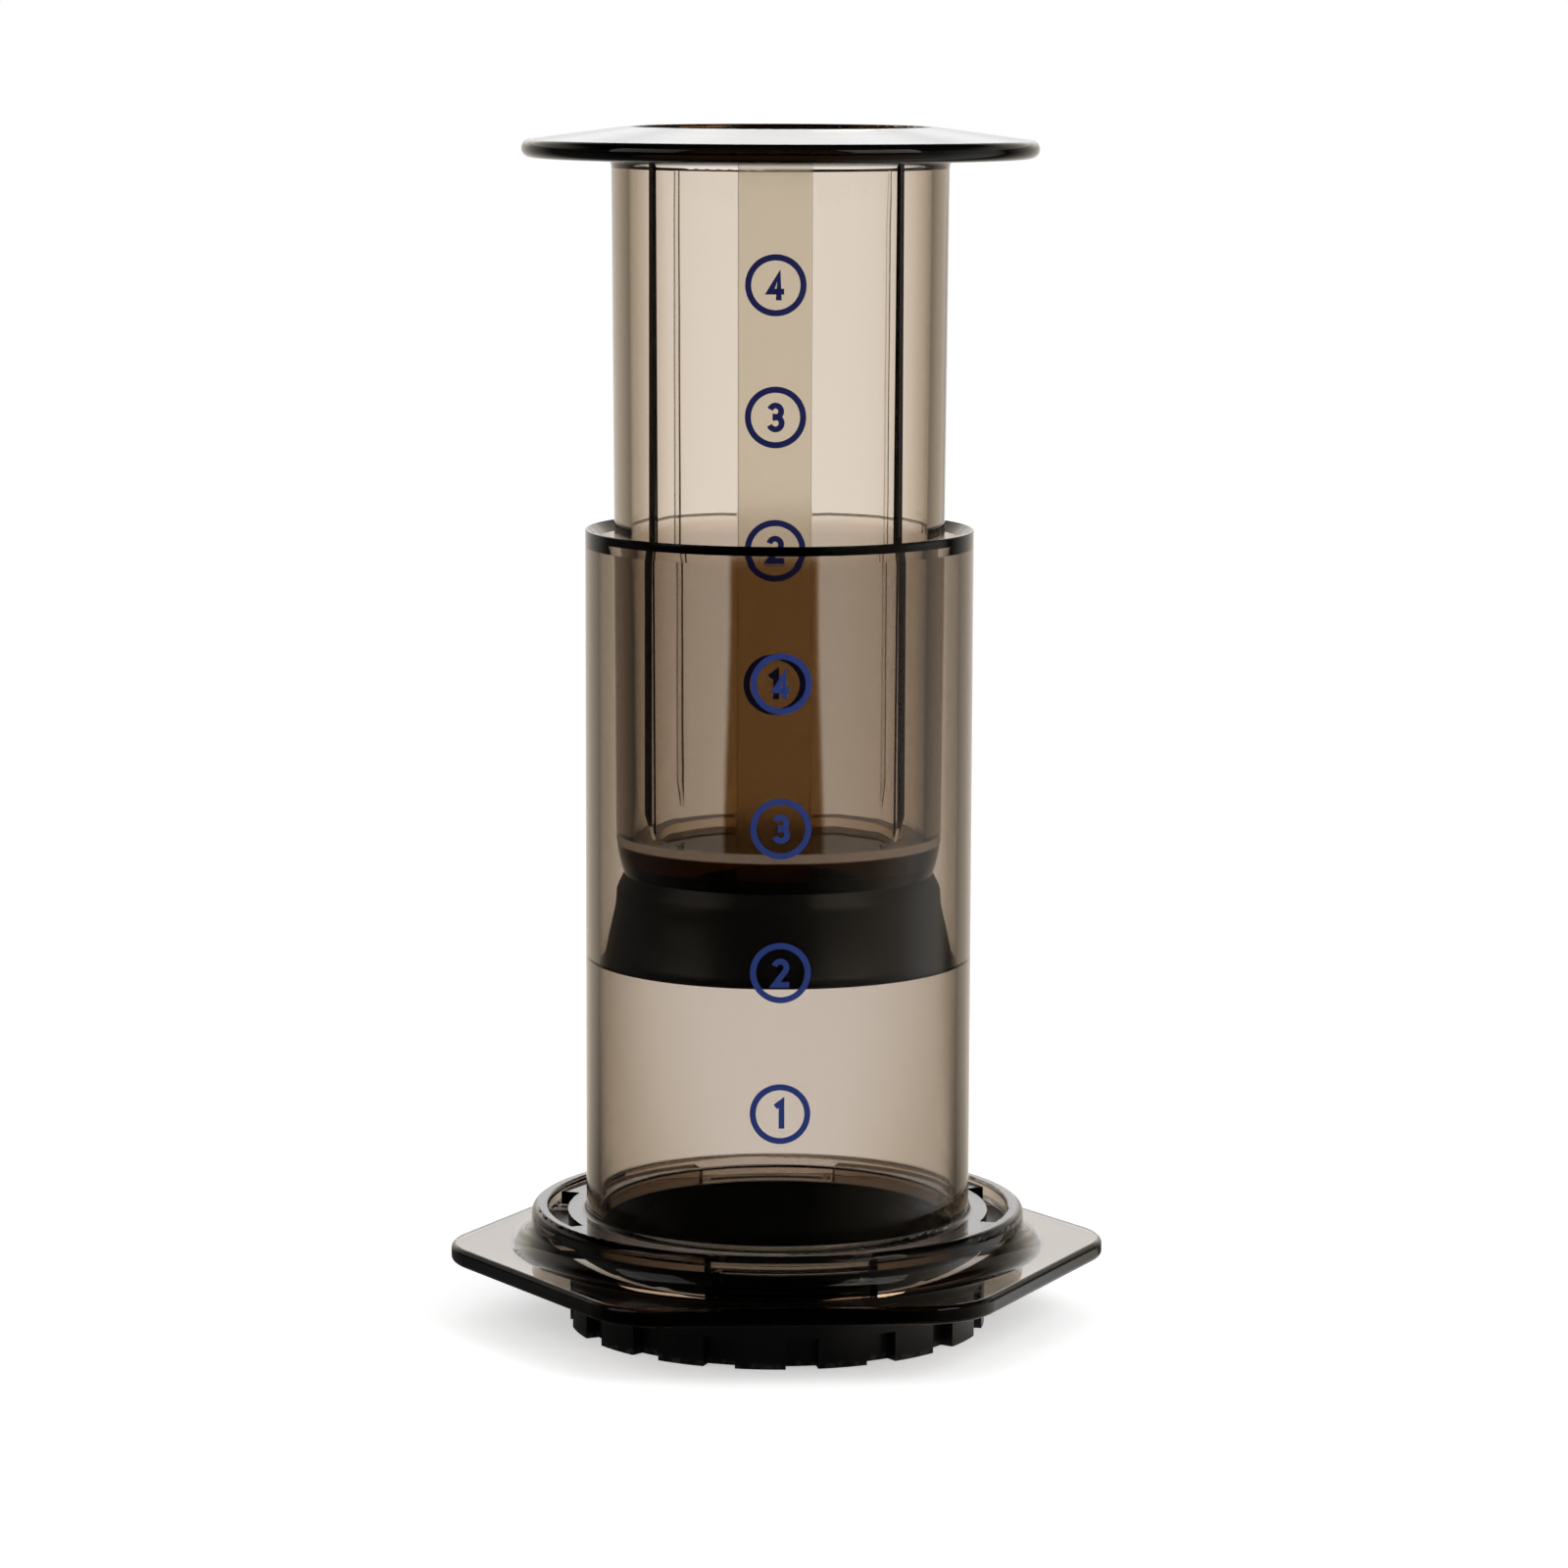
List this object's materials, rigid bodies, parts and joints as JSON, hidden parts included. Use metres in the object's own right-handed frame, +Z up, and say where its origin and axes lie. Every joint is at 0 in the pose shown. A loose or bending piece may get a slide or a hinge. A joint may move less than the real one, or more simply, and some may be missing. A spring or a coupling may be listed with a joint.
{
  "type": "portable coffee press",
  "caption": "Hand-pressed coffee maker: clear smoked chamber with a hexagonal mug plate, hollow plunger with palm flange and rubber seal, and a twist-on black filter cap.",
  "frame": {"origin": "on the table, at the middle of the filter cap's foot", "axes": "+Z up along the chamber and plunger, +X towards a corner of the hexagonal plate, -Y towards the side with the printed numbers"},
  "size_m": [0.108, 0.0972, 0.1966],
  "materials": {
    "smoke_plastic": "clear, smoked brown, polished",
    "black_rubber": "satin",
    "black_plastic": "satin, moulded",
    "filter_paper": "matt paper",
    "navy_ink": "printed numbers"
  },
  "bodies": {
    "chamber": {"chamber": "smoke_plastic"},
    "seal": {"plunger_seal": "black_rubber"},
    "plunger": {"plunger": "smoke_plastic"},
    "filter_cap": {"filter_cap": "black_plastic", "paper_filter": "filter_paper"}
  },
  "joints": [
    {"name": "plunger_slide", "type": "slide", "parent": "chamber", "child": "seal", "axis": [0, 0, 1], "range_m": [-0.0559, 0.08]},
    {"name": "plunger_turn", "type": "hinge", "parent": "seal", "child": "plunger", "pos_m": [0, 0, 0.07555], "axis": [0, 0, 1], "continuous": true},
    {"name": "cap_twist", "type": "hinge", "parent": "chamber", "child": "filter_cap", "pos_m": [0, 0, 0.0163], "axis": [0, 0, 1], "range_deg": [0, 45]}
  ]
}
